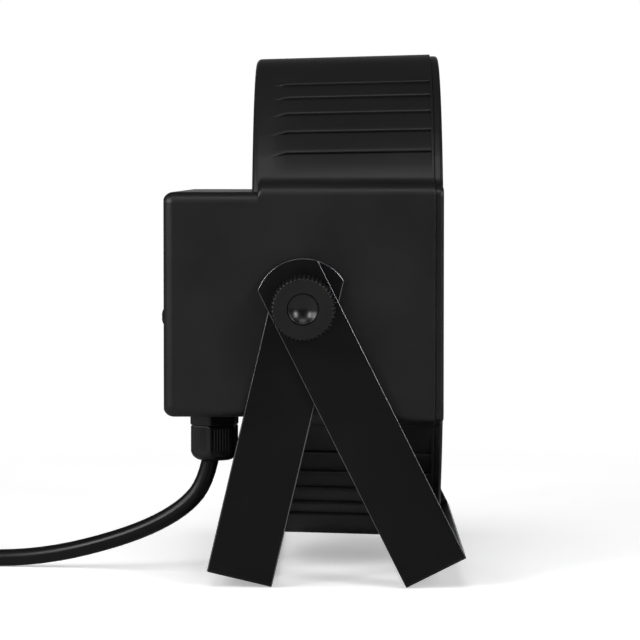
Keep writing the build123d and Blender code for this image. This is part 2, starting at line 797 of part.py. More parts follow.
with BuildPart() as gland_cap_nut:
    with BuildSketch(Plane.XY.offset(nut_top - nut_high + nut_round)):
        with Locations(gland_at):
            hexagon(nut_flats)
    extrude(amount=nut_high - nut_round)
    for drop, slope in ((0.45, 28), (1, 55)):
        with BuildSketch(Plane.XY.offset(nut_top - nut_high + nut_round)):
            with Locations(gland_at):
                hexagon(nut_flats)
        extrude(amount=-drop * nut_round, taper=slope / drop**0.2 * 0.72)
    with BuildSketch(Plane.XY.offset(nut_top - 9.4)):
        with Locations(gland_at):
            bore(8.3, 16)
    extrude(amount=10, mode=Mode.SUBTRACT)
    with BuildSketch(Plane.XY.offset(nut_top - nut_high - 1)):
        with Locations(gland_at):
            bore(5.1, 16)
    extrude(amount=nut_high, mode=Mode.SUBTRACT)
    with BuildSketch(Plane.XY.offset(nut_top - nut_high)):
        with Locations(gland_at):
            bore(6.3, 16)
    extrude(amount=4, taper=14, mode=Mode.SUBTRACT)
keep(gland_cap_nut.part, "gland_cap_nut")

# Cord: from the seal down and back to the floor, then to the coil behind the lamp
coil_centre = (axis_x - 212.0, 13.0)
coil_turns_r = (48.0, 40.0)
coil_high = 4 * cord_r
cord_floor = cord_r + 0.05 - axis_z
cord_points = (
    (-42.66, -50.0, -63.5),
    (-44.94, -49.8, -82.44),
    (-56.74, -49.1, -97.70),
    (-82.76, -46.1, -110.81),
    (-125.9, -38.9, cord_floor),
    (-169.5, -34.3, cord_floor),
    (-212.0, -35.0, cord_floor),
)
tail_x = coil_centre[0] - coil_turns_r[0]


def cord_tube(points):
    """Round cord through the points, bent as widely as each pair of runs allows."""
    radii = []
    for before, here, after in zip(points, points[1:], points[2:]):
        run_in = Vector(*here) - Vector(*before)
        run_out = Vector(*after) - Vector(*here)
        turn = radians(run_in.get_angle(run_out))
        radii.append(0.45 * min(run_in.length, run_out.length) / tan(turn / 2))
    with BuildPart() as tube:
        with BuildLine() as path:
            FilletPolyline(*points, radius=radii)
        run = path.wires()[0]
        with BuildSketch(Plane(origin=run @ 0, z_dir=run % 0)) as round_section:
            stub(cord_r, 16)
        sweep(path=run)
    by_length = round_section.sketch.area * run.length
    print("bend radii", [round(r, 1) for r in radii])
    print("cord volume", round(tube.part.volume), "section by length", round(by_length))
    return tube.part


keep(cord_tube([(axis_x + x, y, axis_z + z) for x, y, z in cord_points]), "power_cord")
with BuildPart() as power_cord_coil:
    with BuildSketch():
        with Locations(coil_centre):
            RegularPolygon(coil_turns_r[0] + cord_r, 36)
            RegularPolygon(coil_turns_r[1] - cord_r, 30, mode=Mode.SUBTRACT)
    extrude(amount=coil_high)
keep(power_cord_coil.part, "power_cord_coil")
with BuildPart() as power_cord_tail:
    with BuildSketch(Plane(origin=(tail_x, 13, 10), x_dir=(1, 0, 0), z_dir=(0, 1, 0))):
        Circle(cord_r)
    extrude(amount=34)
keep(power_cord_tail.part, "power_cord_tail")

# Moulded plug lying on its back, with three flat pins upwards
with BuildPart() as power_plug:
    with BuildSketch(Plane.XY):
        with Locations((tail_x, 95)):
            Rectangle(48, 50)
    extrude(amount=20)
    chamfer(power_plug.edges().filter_by(Axis.Z), 8)
    chamfer(power_plug.faces().sort_by(Axis.Z)[0].edges(), 3)
    with BuildSketch(Plane(origin=(tail_x, 47, 10), x_dir=(1, 0, 0), z_dir=(0, 1, 0))):
        stub(5.6, 12)
    extrude(amount=26, taper=-5)
keep(power_plug.part, "power_plug")
with BuildPart() as plug_pins:
    with BuildSketch(Plane.XY.offset(20)):
        with Locations((tail_x, 108)):
            Rectangle(4, 8)
    extrude(amount=22.7)
    with BuildSketch(Plane.XY.offset(20)):
        with Locations((tail_x - 11.1, 86), (tail_x + 11.1, 86)):
            Rectangle(6.35, 4)
    extrude(amount=17.7)
keep(plug_pins.part, "plug_pins")
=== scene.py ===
"""Flat LED par can on its double yoke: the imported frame, dressed piece by piece and lit on a pale floor."""

import json
from math import asin, atan2, cos, pi, radians, sin, sqrt

import bmesh
import bpy
from bpy.props import FloatProperty, FloatVectorProperty, IntProperty, PointerProperty
from mathutils import Matrix, Vector


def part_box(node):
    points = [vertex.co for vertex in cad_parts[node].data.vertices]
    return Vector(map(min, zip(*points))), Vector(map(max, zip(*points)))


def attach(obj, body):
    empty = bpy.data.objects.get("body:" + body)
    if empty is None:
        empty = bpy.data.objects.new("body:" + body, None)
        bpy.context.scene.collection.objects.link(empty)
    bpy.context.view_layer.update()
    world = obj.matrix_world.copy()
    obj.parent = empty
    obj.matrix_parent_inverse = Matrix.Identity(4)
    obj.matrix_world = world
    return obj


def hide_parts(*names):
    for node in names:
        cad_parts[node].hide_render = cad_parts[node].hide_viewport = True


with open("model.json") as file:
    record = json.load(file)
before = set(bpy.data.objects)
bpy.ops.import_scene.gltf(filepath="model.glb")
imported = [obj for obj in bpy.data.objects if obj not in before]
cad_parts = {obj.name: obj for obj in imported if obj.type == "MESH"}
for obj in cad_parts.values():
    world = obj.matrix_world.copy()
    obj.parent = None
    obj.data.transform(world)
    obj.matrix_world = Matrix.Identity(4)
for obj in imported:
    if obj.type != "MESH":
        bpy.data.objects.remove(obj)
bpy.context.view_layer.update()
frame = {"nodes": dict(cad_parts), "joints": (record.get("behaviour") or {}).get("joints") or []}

bl_info = {
    "name": "Flat par can",
    "version": (1, 0, 0),
    "blender": (4, 5, 0),
    "location": "View3D > Sidebar > Par can",
    "description": "Builds a flat LED par can piece by piece on its packed frame",
    "category": "Object",
}

MM = 0.001
joint_at = {joint["name"]: joint["pos_m"] for joint in frame["joints"] if "pos_m" in joint}
axis_x, _, axis_z = joint_at["inner_yoke_swing"]
housing_low, housing_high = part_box("main_housing")
head_z = (housing_low[2] + housing_high[2]) / 2
lip_x = housing_high[0]
box_back = housing_low[0]
drum_back = axis_x - 23.5 * MM
panel_out = box_back + 0.8 * MM
# In mm: half the box's height, the ears from the middle, the studs' radius, the ring of bezel screws
box_half = 50.5
ear_face = 116.0
thread_r = 4.1
screw_ring = 108.6
screw_turns = [radians(degrees) for degrees in (45, 90, 135, 225, 270, 315)]
BEZEL_SCREWS = [(screw_ring * cos(turn), screw_ring * sin(turn)) for turn in screw_turns]
SIDES = ((-1, "left"), (1, "right"))


# Sizes and colours


def size(name, description, default_mm):
    """A length that a user can change, given in millimetres and kept in metres."""
    return FloatProperty(
        name=name, description=description, default=default_mm * MM, unit="LENGTH", precision=5
    )


def shade(name, description, text):
    """A colour that a user can change, given as an sRGB hex value."""
    return FloatVectorProperty(
        name=name, description=description, default=linear(text), subtype="COLOR", size=4, min=0, max=1
    )


def power(name, description, default):
    """A light's power in watts."""
    return FloatProperty(name=name, description=description, default=default, min=0, unit="POWER")


def level(name, description, default):
    """A brightness, where 1 is white."""
    return FloatProperty(name=name, description=description, default=default, min=0, subtype="FACTOR")


def linear(text):
    """Linear colour of an sRGB hex value."""
    channels = [int(text[i : i + 2], 16) / 255 for i in (1, 3, 5)]
    return tuple(c / 12.92 if c <= 0.04045 else ((c + 0.055) / 1.055) ** 2.4 for c in channels) + (1.0,)


class HeadSettings(bpy.types.PropertyGroup):
    drum_back_r: size("Drum radius at the back", "Radius where the drum meets its rear rim", 113.4)
    drum_lip_r: size("Drum radius at the lip", "Radius at the drum's front edge", 115.7)
    half_width: size("Half width", "From the middle to the flat face of an ear", ear_face)
    ear_half: size("Ear half height", "Half the height of the ears and the rear box", box_half)
    ear_lift: size("Ear lift", "How far the ears stand above the box in front of it", 3.4)
    cove_r: size("Cove radius", "Hollow curve between the drum and an ear", 7.0)
    corner_r: size("Corner radius", "Rounding of the ears' long corners", 5.2)
    box_rim_r: size("Box rim radius", "Rounding of the box's rear edge", 4.8)
    drum_rim_r: size("Drum rim radius", "Rounding of the drum's rear edge", 2.7)
    wall: size("Wall", "Thickness of the moulding", 3.0)
    louvre_deep: size("Louvre depth", "Depth of each louvre's step", 1.15)
    bezel_inset: size("Bezel inset", "How far the bezel sits inside the lip", 0.85)
    colour: shade("Moulding colour", "Black ABS of the housing", "#0B0B0C")
    lens_colour: shade("Lens colour", "Clear acrylic of the lens plate", "#F4F7F8")


class YokeSettings(bpy.types.PropertyGroup):
    edge: size("Edge rounding", "How far the coating rounds the strip's edges", 0.5)
    colour: shade("Coating colour", "Black powder coat", "#040405")


class KnobSettings(bpy.types.PropertyGroup):
    back_r: size("Back radius", "Radius over the teeth at the knob's back", 14.8)
    front_r: size("Front radius", "Radius over the teeth near the knob's face", 14.1)
    high: size("Height", "From the knob's back to its face", 21.75)
    tooth: size("Tooth depth", "Depth of the grooves round the grip", 0.9)
    teeth: IntProperty(name="Teeth", description="Teeth round the grip", default=45, min=12, max=90)
    colour: shade("Grip colour", "Glass-filled nylon of the grip", "#0E0E0E")


class CordSettings(bpy.types.PropertyGroup):
    cord_r: size("Cord radius", "Radius of the round mains cord", 4.0)
    coil_outer: size("Outer turn", "Radius of the coil's outer turns", 48.0)
    coil_inner: size("Inner turn", "Radius of the coil's inner turns", 40.0)
    gland_flats: size("Gland flats", "Width of the gland's collar across its flats", 20.8)
    colour: shade("Sheath colour", "Black PVC of the cord", "#0B0B0C")


class StageSettings(bpy.types.PropertyGroup):
    key_power: power("Key light", "Power of the large overhead light", 9)
    rim_power: power("Side lights", "Power of the strip on the right, and half that of the left one", 3.5)
    soft_power: power("Softboxes", "Power of each softbox in front", 12)
    top_power: power("High strip", "Power of the strip above the camera", 3)
    ceiling: level("Ceiling", "Brightness added overhead", 0.05)
    backdrop: level("Backdrop", "Brightness of the white backdrop behind the lamp", 0.9)
    room: level("Room", "Brightness of the darker room in front of the lamp", 0.045)
    floor_lift: level("Floor lift", "Light added to the sheet where the camera sees it", 0.4)
    floor_colour: shade("Floor colour", "Pale sheet under the lamp", "#F4F4F4")
    floor_mirrored: shade("Mirrored floor", "Tone of the sheet as the black parts reflect it", "#A8A8A8")


SETTINGS = {
    "par_head": HeadSettings,
    "par_yoke": YokeSettings,
    "par_knob": KnobSettings,
    "par_cord": CordSettings,
    "par_stage": StageSettings,
}


# Making meshes and materials


WHITE = (1, 1, 1, 1)


def add(tree, kind, inputs=(), **settings):
    """Adds a node to a tree with its settings, and links or sets its inputs."""
    made = tree.nodes.new(kind)
    for key, value in settings.items():
        setattr(made, key, value)
    for key, value in dict(inputs).items():
        if isinstance(value, bpy.types.NodeSocket):
            tree.links.new(value, made.inputs[key])
        else:
            made.inputs[key].default_value = value
    return made


def new_material(name, base, roughness, metallic=0.0, **surface):
    """Material with a principled surface; returns it with its tree, its surface and object coordinates."""
    material = bpy.data.materials.new(name)
    material.use_nodes = True
    tree = material.node_tree
    tree.nodes.clear()
    look = {"Base Color": base, "Roughness": roughness, "Metallic": metallic, **surface}
    shader = add(tree, "ShaderNodeBsdfPrincipled", look)
    add(tree, "ShaderNodeOutputMaterial", {"Surface": shader.outputs["BSDF"]})
    place = add(tree, "ShaderNodeTexCoord").outputs["Object"]
    return material, tree, shader, place


def grained(name, base, rough_low, rough_high, grain_mm, bump_mm, metallic=0.0, mottle=0.25, **surface):
    """Surface with an even fine grain in relief, and broad faint changes of tone and gloss."""
    material, tree, shader, place = new_material(name, base, rough_low, metallic, **surface)
    grain = {"Vector": place, "Scale": 1 / (grain_mm * MM), "Detail": 2.0, "Roughness": 0.6}
    fine = add(tree, "ShaderNodeTexNoise", grain)
    relief = add(tree, "ShaderNodeBump", {"Height": fine.outputs["Fac"], "Distance": bump_mm * MM})
    blotches = {"Vector": place, "Scale": 1 / (38 * MM), "Detail": 3.0}
    broad = add(tree, "ShaderNodeTexNoise", blotches).outputs["Fac"]
    levels = {"From Min": 0.3, "From Max": 0.7, "To Min": rough_low, "To Max": rough_high}
    gloss = add(tree, "ShaderNodeMapRange", {"Value": broad, **levels})
    darker = tuple(c * (1 - mottle) for c in base[:3]) + (1.0,)
    lighter = tuple(min(1.0, c * (1 + mottle) + 0.002 * mottle) for c in base[:3]) + (1.0,)
    tones = add(tree, "ShaderNodeValToRGB", {"Fac": broad})
    dark, light = tones.color_ramp.elements
    dark.position, dark.color = 0.3, darker
    light.position, light.color = 0.7, lighter
    tree.links.new(tones.outputs["Color"], shader.inputs["Base Color"])
    tree.links.new(gloss.outputs["Result"], shader.inputs["Roughness"])
    tree.links.new(relief.outputs["Normal"], shader.inputs["Normal"])
    return material


def follow(bm, ring, points):
    """Extrudes a ring of edges and puts the new ring on the points; returns the new ring."""
    edges = [bm.edges.get((a, b)) for a, b in zip(ring, ring[1:] + ring[:1])]
    made = bmesh.ops.extrude_edge_only(bm, edges=edges)["geom"]
    fresh = {v for v in made if isinstance(v, bmesh.types.BMVert)}
    after = []
    for old, point in zip(ring, points):
        new = next(e.other_vert(old) for e in old.link_edges if e.other_vert(old) in fresh)
        new.co = point
        after.append(new)
    return after


def sleeve(rings, capped=False):
    """Skin through rings of points, one after another, with its ends closed if capped."""
    bm = bmesh.new()
    made = bmesh.ops.create_circle(bm, segments=len(rings[0]), radius=1.0)["verts"]
    first = sorted(made, key=lambda v: atan2(v.co.y, v.co.x) % (2 * pi))
    for vert, point in zip(first, rings[0]):
        vert.co = point
    ring = first
    for points in rings[1:]:
        ring = follow(bm, ring, points)
    if capped:
        for end in (first, ring):
            bmesh.ops.contextual_create(bm, geom=end)
    bmesh.ops.remove_doubles(bm, verts=bm.verts, dist=1e-7)
    bmesh.ops.dissolve_degenerate(bm, dist=1e-7, edges=bm.edges)
    bmesh.ops.recalc_face_normals(bm, faces=bm.faces)
    return bm


def piece(name, bm, material, body, replaced, smooth_deg=32):
    """Turns a bmesh into a finished piece that rides on a body and stands in for CAD nodes."""
    mesh = bpy.data.meshes.new(name)
    bm.to_mesh(mesh)
    bm.free()
    mesh.shade_smooth()
    mesh.set_sharp_from_angle(angle=radians(smooth_deg))
    made = bpy.data.objects.new(name, mesh)
    bpy.context.scene.collection.objects.link(made)
    mesh.materials.append(material)
    made.modifiers.new("Even shading", "WEIGHTED_NORMAL").keep_sharp = True
    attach(made, body)
    if replaced:
        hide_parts(*replaced)
    return made


def cad_copy(node, edge, segments, edge_slot=-1):
    """Copy of a CAD node's mesh, merged, with its flat faces whole and its sharp edges rounded."""
    bm = bmesh.new()
    bm.from_mesh(frame["nodes"][node].data)
    bmesh.ops.remove_doubles(bm, verts=bm.verts, dist=2e-6)
    bmesh.ops.dissolve_limit(bm, angle_limit=radians(0.6), verts=bm.verts, edges=bm.edges)
    sharp = [e for e in bm.edges if len(e.link_faces) == 2 and e.calc_face_angle(0) > radians(28)]
    bmesh.ops.bevel(
        bm,
        geom=sharp,
        offset=edge,
        offset_type="OFFSET",
        affect="EDGES",
        segments=segments,
        profile=0.5,
        material=edge_slot,
        clamp_overlap=True,
    )
    return bm


def carve(bm, cutter, how="DIFFERENCE"):
    """Cuts one closed bmesh out of another, or joins the two, and returns the outcome."""
    objects = []
    for name, shape in (("Carved", bm), ("Cutter", cutter)):
        mesh = bpy.data.meshes.new(name)
        shape.to_mesh(mesh)
        shape.free()
        objects.append(bpy.data.objects.new(name, mesh))
        bpy.context.scene.collection.objects.link(objects[-1])
    carved, tool = objects
    cut = carved.modifiers.new("Cut", "BOOLEAN")
    cut.operation = how
    cut.solver = "EXACT"
    cut.object = tool
    left = bpy.data.meshes.new_from_object(carved.evaluated_get(bpy.context.evaluated_depsgraph_get()))
    for used in objects:
        bpy.data.objects.remove(used)
    bm = bmesh.new()
    bm.from_mesh(left)
    return bm


# Finishes


def clear_plastic(name, base, roughness, passing, flow_mm, bump_mm):
    """Acrylic that lets light through, with the faint flow marks of its moulding."""
    inner = {"Transmission Weight": passing, "IOR": 1.49}
    material, tree, shader, place = new_material(name, base, roughness, **inner)
    flow = add(tree, "ShaderNodeTexNoise", {"Vector": place, "Scale": 1 / (flow_mm * MM), "Detail": 1.0})
    relief = add(tree, "ShaderNodeBump", {"Height": flow.outputs["Fac"], "Distance": bump_mm * MM})
    tree.links.new(relief.outputs["Normal"], shader.inputs["Normal"])
    return material


def make_finishes():
    """Makes each finish once and returns them by name."""
    scene = bpy.context.scene
    moulding = tuple(scene.par_head.colour)
    # Key, material, colour, roughness from and to, grain and its relief in mm, then metallic and mottle.
    # The real grains are too fine to show, so they are drawn coarser than they are.
    table = (
        # Injection-moulded ABS off a spark-eroded mould: an even fine grain that breaks reflections up
        ("abs", "Moulded ABS, spark grain", moulding, 0.4, 0.48, 0.55, 0.02),
        # The same ABS off a smoother part of the mould
        ("bezel", "Moulded ABS, bezel", moulding, 0.36, 0.44, 0.5, 0.012),
        # Steel strip, powder coated: a low orange peel with soft gloss
        ("coat", "Powder-coated steel", tuple(scene.par_yoke.colour), 0.32, 0.42, 1.1, 0.012),
        # The coat's rounded edges as a smoother, pale metal: painted highlight, its bright colour standing in
        # for the shine the lights put along the strip's edges, which it also reflects
        ("edge", "Powder-coated steel, rubbed edge", linear("#84848A"), 0.19, 0.25, 0.8, 0.006, 0.9),
        # Glass-filled nylon: dull, with a faint mottle
        ("nylon", "Moulded glass-filled nylon", tuple(scene.par_knob.colour), 0.3, 0.38, 0.4, 0.01),
        # Polished ABS cap: a clean gloss that blurs the lights a little
        ("gloss", "Polished ABS", linear("#0A0A0C"), 0.22, 0.28, 2.0, 0.001),
        # Extruded PVC sheath: smooth and half glossy with faint ripples from the die
        ("sheath", "Extruded PVC sheath", tuple(scene.par_cord.colour), 0.26, 0.36, 1.6, 0.015),
        # Moulded PVC plug: dull, off a blasted mould
        ("plug", "Moulded PVC", linear("#0D0D0E"), 0.4, 0.5, 0.7, 0.02),
        # Silicone rubber seal: matt
        ("rubber", "Moulded silicone rubber", linear("#101010"), 0.6, 0.75, 0.6, 0.01),
        # Zinc-plated turned steel: pale and bright
        ("steel", "Zinc-plated steel", linear("#A9ABB0"), 0.28, 0.4, 0.5, 0.004, 1.0, 0.12),
        # Black-oxide screws: dark with a metal's shine
        ("black_steel", "Black-oxide steel", linear("#1C1C1E"), 0.3, 0.42, 0.4, 0.004, 0.6),
        # Turned brass: warm and bright
        ("brass", "Turned brass", linear("#C9A45A"), 0.22, 0.34, 0.5, 0.004, 1.0, 0.1),
        # Die-cast zinc socket shells, nickel plated: a soft grey shine
        ("zinc", "Nickel-plated zinc", linear("#8E9094"), 0.26, 0.38, 0.8, 0.006, 1.0, 0.12),
        # Extruded aluminium: pale, with a satin skin
        ("aluminium", "Extruded aluminium", linear("#B4B6BA"), 0.3, 0.42, 0.7, 0.006, 1.0, 0.1),
        # Glass-epoxy board under green solder mask: a dark green gloss
        ("board", "Green solder mask", linear("#0F4A26"), 0.3, 0.4, 1.2, 0.01),
        # White solder mask of the LED board: white with a soft gloss
        ("white_board", "White solder mask", linear("#E6E6E2"), 0.35, 0.45, 1.0, 0.008, 0.0, 0.04),
        # Silicone over phosphor: deep yellow and a little glossy
        ("emitter", "Phosphor silicone", linear("#E8D27A"), 0.25, 0.35, 0.8, 0.01, 0.0, 0.08),
    )
    finishes = {}
    for key, *numbers in table:
        # The coat and the sheath reflect less than the other finishes do
        surface = {"Specular IOR Level": 0.3} if key in ("coat", "sheath") else {}
        finishes[key] = grained(*numbers, **surface)
    # Clear acrylic, moulded and polished: see-through with a sharp shine
    lens_colour = tuple(scene.par_head.lens_colour)
    finishes["acrylic"] = clear_plastic("Moulded acrylic", lens_colour, 0.03, 1.0, 6, 0.01)
    # Smoked acrylic over the display: dark, and only half see-through
    finishes["smoked"] = clear_plastic("Smoked acrylic", linear("#1B2226"), 0.06, 0.7, 4, 0.005)
    return finishes


finish = {}


# Shapes of the head


def drum_radius(x):
    """Outer radius of the drafted drum at x."""
    head = bpy.context.scene.par_head
    return head.drum_back_r + (x - drum_back) / (lip_x - drum_back) * (head.drum_lip_r - head.drum_back_r)


# The louvres' lips in degrees round the drum from its side
LIPS = (36.7, 42.95, 49.2, 55.45, 61.7)
# One louvre: degrees from its lip, and its depth there as a share of the full depth
LOUVRE = ((0.42, 0), (0.24, 0.07), (0.1, 0.24), (0.02, 0.52), (0, 1))
LOUVRE += ((-0.3, 0.95), (-2.8, 0.46), (-5.1, 0.03))


def quarter(radius, inset=0.0, cut=0.0, on_arc=False, lift=0.0):
    """Outline of a quarter of the head, from the top middle to the side, as (y, z) from the middle.

    cut deepens the louvres from 0 to 1; on_arc carries the cove's points on along the drum instead; lift
    raises the ears.
    """
    head = bpy.context.scene.par_head
    round_r = radius - inset
    flat_z = head.ear_half + lift - inset
    cove = head.cove_r + inset
    corner = head.corner_r - inset
    wide = head.half_width - inset
    columns = [(angle, 0.0) for angle in (90, 87, 84, 81, 78, 75, 72, 69, 66, 64)]
    for lip in LIPS:
        lip -= 1.2 * (1 - cut)
        columns += [(lip + off, deep * cut) for off, deep in LOUVRE]
    points = []
    for angle, deep in sorted(columns, key=lambda column: -column[0]):
        r = round_r - deep * head.louvre_deep
        points.append((r * cos(radians(angle)), r * sin(radians(angle))))
    middle_z = flat_z + cove
    middle_y = sqrt((round_r + cove) ** 2 - middle_z**2)
    touch = atan2(middle_z, middle_y)
    low = asin(flat_z / round_r)
    for index in range(9):
        share = index / 8
        if on_arc:
            angle = touch + share * (low - touch)
            points.append((round_r * cos(angle), round_r * sin(angle)))
        else:
            angle = touch + pi + share * (pi / 2 - touch)
            points.append((middle_y + cove * cos(angle), middle_z + cove * sin(angle)))
    points.append(((points[-1][0] + wide - corner) / 2, flat_z))
    for index in range(7):
        angle = pi / 2 * (1 - index / 6)
        points.append((wide - corner + corner * cos(angle), flat_z - corner + corner * sin(angle)))
    points += [(wide, share * (flat_z - corner)) for share in (0.66, 0.33)]
    return points


def whole(x, points):
    """Closed ring at x from one quarter's outline, which is the same in all four."""
    ring = [(x, y, head_z + z) for y, z in points]
    ring += [(x, y, head_z - z) for y, z in reversed(points)]
    ring += [(x, -y, head_z - z) for y, z in points[1:]]
    ring += [(x, -y, head_z + z) for y, z in reversed(points[1:])]
    return ring


def on_circle(ring, x, radius):
    """Ring at x with each point of another ring brought onto a circle."""
    turns = [atan2(z - head_z, y) for _, y, z in ring]
    return [(x, radius * cos(turn), head_z + radius * sin(turn)) for turn in turns]


def axes_of(direction):
    """Two directions across a third."""
    along = Vector(direction).normalized()
    across = along.cross((0, 0, 1)) if abs(along.z) < 0.9 else along.cross((1, 0, 0))
    across.normalize()
    return across, along.cross(across)


def turned(profile, origin, direction, segments=48, closed=True):
    """Round piece from its profile of (height, radius) pairs about a direction."""
    across, up = axes_of(direction)
    along = Vector(direction).normalized()
    rings = []
    for high, radius in profile:
        ring = []
        for index in range(segments):
            turn = 2 * pi * index / segments
            ring.append(Vector(origin) + high * along + radius * (cos(turn) * across + sin(turn) * up))
        rings.append(ring)
    if closed:
        rings.append(rings[0])
    return sleeve(rings)


def washer(side, low, high, outer, soft):
    """Flat ring round a stud, its heights over the ear and its radius in millimetres, with a softened rim."""
    half = ((low, thread_r), (low, outer - soft), (low + soft, outer))
    half += ((high - soft, outer), (high, outer - soft), (high, thread_r))
    origin = (axis_x, side * ear_face * MM, axis_z)
    return turned([(h * MM, r * MM) for h, r in half], origin, (0, side, 0), 64)


def boxes(places):
    """Boxes in one mesh, each from its matrix."""
    bm = bmesh.new()
    for matrix in places:
        bmesh.ops.create_cube(bm, size=1.0, matrix=matrix)
    return bm


def merged(parts):
    """Several bmeshes in one."""
    bm = bmesh.new()
    for part in parts:
        mesh = bpy.data.meshes.new("Part")
        part.to_mesh(mesh)
        part.free()
        bm.from_mesh(mesh)
        bpy.data.meshes.remove(mesh)
    return bm


# Pieces


class PAR_OT_finishes(bpy.types.Operator):
    """Makes the finishes and gives them to the CAD nodes that stay in view"""

    bl_idname = "par.finishes"
    bl_label = "Finishes"

    def execute(self, context):
        finish.update(make_finishes())
        given = {
            "white_board": ("led_board",),
            "emitter": ("led_emitters",),
            "board": ("power_supply_board", "control_board"),
            "nylon": ("dmx_in_insert", "dmx_out_insert", "gland_locknut"),
            "gloss": ("power_capacitors", "display_module"),
            "coat": ("power_transformer",),
            "steel": ("tact_switches", "left_knob_stud", "right_knob_stud"),
            "brass": ("dmx_in_pins", "pivot_inserts"),
            "rubber": ("gland_seal",),
            "smoked": ("display_window",),
        }
        for name, nodes in given.items():
            for node in nodes:
                slots = frame["nodes"][node].data.materials
                slots.clear()
                slots.append(finish[name])
        return {"FINISHED"}


class PAR_OT_stage(bpy.types.Operator):
    """Lays the pale floor, sets the lights and places the camera"""

    bl_idname = "par.stage"
    bl_label = "Stage"

    def execute(self, context):
        stage = context.scene.par_stage
        bm = bmesh.new()
        bmesh.ops.create_grid(bm, x_segments=1, y_segments=1, size=30)
        mesh = bpy.data.meshes.new("Floor")
        bm.to_mesh(mesh)
        bm.free()
        floor = bpy.data.objects.new("Floor", mesh)
        context.scene.collection.objects.link(floor)
        # Matt paper sheet, lifted to white where the camera sees it so that only the shadow stays grey
        sheet = bpy.data.materials.new("Matt paper sheet")
        sheet.use_nodes = True
        tree = sheet.node_tree
        tree.nodes.clear()
        place = add(tree, "ShaderNodeTexCoord").outputs["Object"]
        fibre = add(tree, "ShaderNodeTexNoise", {"Vector": place, "Scale": 1 / (3 * MM), "Detail": 2.0})
        relief = add(tree, "ShaderNodeBump", {"Height": fibre.outputs["Fac"], "Distance": 0.02 * MM})
        tone = {"Color": tuple(stage.floor_colour), "Normal": relief.outputs["Normal"]}
        paper = add(tree, "ShaderNodeBsdfDiffuse", tone)
        glow = add(tree, "ShaderNodeEmission", {"Color": WHITE, "Strength": stage.floor_lift})
        lifted = add(tree, "ShaderNodeAddShader", {0: paper.outputs[0], 1: glow.outputs[0]})
        # Past the shadow it fades to plain white
        away = add(tree, "ShaderNodeVectorMath", {0: place}, operation="LENGTH")
        fade = {"Value": away.outputs["Value"], "From Min": 0.3, "From Max": 0.7}
        reach = add(tree, "ShaderNodeMapRange", fade, interpolation_type="SMOOTHSTEP").outputs["Result"]
        plain = add(tree, "ShaderNodeEmission", {"Color": WHITE, "Strength": 1.0})
        fading = {0: reach, 1: lifted.outputs[0], 2: plain.outputs[0]}
        faded = add(tree, "ShaderNodeMixShader", fading)
        seen = add(tree, "ShaderNodeLightPath").outputs
        direct = {0: seen["Is Camera Ray"], 1: paper.outputs[0], 2: faded.outputs[0]}
        shown = add(tree, "ShaderNodeMixShader", direct)
        # Reflected in the black parts, the sheet shows a painted grey, darker than it looks, as if it ended a
        # little way in front of the lamp
        greyer = add(tree, "ShaderNodeBsdfDiffuse", {"Color": tuple(stage.floor_mirrored)})
        mirrored = {0: seen["Is Glossy Ray"], 1: shown.outputs[0], 2: greyer.outputs[0]}
        sheet_look = add(tree, "ShaderNodeMixShader", mirrored)
        add(tree, "ShaderNodeOutputMaterial", {"Surface": sheet_look.outputs[0]})
        mesh.materials.append(sheet)
        world = bpy.data.worlds.new("Studio")
        context.scene.world = world
        world.use_nodes = True
        tree = world.node_tree
        tree.nodes.clear()
        heading = add(tree, "ShaderNodeTexCoord").outputs["Generated"]
        parts = add(tree, "ShaderNodeSeparateXYZ", {"Vector": heading}).outputs
        # The backdrop stands straight behind the lamp, in a darker room
        span = {"From Min": 0.93, "From Max": 0.995, "To Min": stage.room, "To Max": stage.backdrop}
        behind = add(
            tree, "ShaderNodeMapRange", {"Value": parts["Y"], **span}, interpolation_type="SMOOTHSTEP"
        )
        # The ceiling glows a little overhead
        span = {"From Min": 0.5, "From Max": 0.9, "To Min": 0.0, "To Max": stage.ceiling}
        above = add(
            tree, "ShaderNodeMapRange", {"Value": parts["Z"], **span}, interpolation_type="SMOOTHSTEP"
        )
        both = {0: behind.outputs["Result"], 1: above.outputs["Result"]}
        total = add(tree, "ShaderNodeMath", both, operation="ADD")
        soft = add(tree, "ShaderNodeBackground", {"Color": WHITE, "Strength": total.outputs[0]})
        # Seen straight or through the lens plate, everything around is white
        white = add(tree, "ShaderNodeBackground", {"Color": WHITE, "Strength": 1.0})
        ray = add(tree, "ShaderNodeLightPath").outputs
        straight = {0: ray["Is Camera Ray"], 1: ray["Is Transmission Ray"]}
        clear = add(tree, "ShaderNodeMath", straight, operation="MAXIMUM")
        choice = {0: clear.outputs[0], 1: soft.outputs[0], 2: white.outputs[0]}
        around = add(tree, "ShaderNodeMixShader", choice)
        add(tree, "ShaderNodeOutputWorld", {"Surface": around.outputs[0]})
        # Name, place, width, height, power, and whether the parts reflect the light itself
        lights = (
            ("Overhead", (-0.25, -0.1, 1.7), 1.1, 1.1, stage.key_power, False),
            ("Left softbox", (-1.12, -1.35, 0.95), 0.45, 0.8, stage.soft_power, True),
            ("Right softbox", (1.12, -1.35, 0.9), 0.45, 0.8, stage.soft_power, True),
            ("High strip", (0, -0.85, 1.45), 0.8, 0.5, stage.top_power, True),
            ("Left strip", (-1.3, -0.6, 0.75), 0.6, 0.7, 2 * stage.rim_power, True),
            ("Right strip", (1.4, -0.1, 0.6), 0.5, 0.5, stage.rim_power, True),
        )
        # Every light faces the lamp's middle
        middle = Vector((0, 0, 0.13))
        for name, place, wide, high, watts, mirrored in lights:
            area = bpy.data.lights.new(name, "AREA")
            area.shape = "RECTANGLE"
            area.size, area.size_y = wide, high
            area.energy = watts
            light = bpy.data.objects.new(name, area)
            light.location = place
            light.rotation_euler = (middle - Vector(place)).to_track_quat("-Z", "Y").to_euler()
            light.visible_glossy = mirrored
            context.scene.collection.objects.link(light)
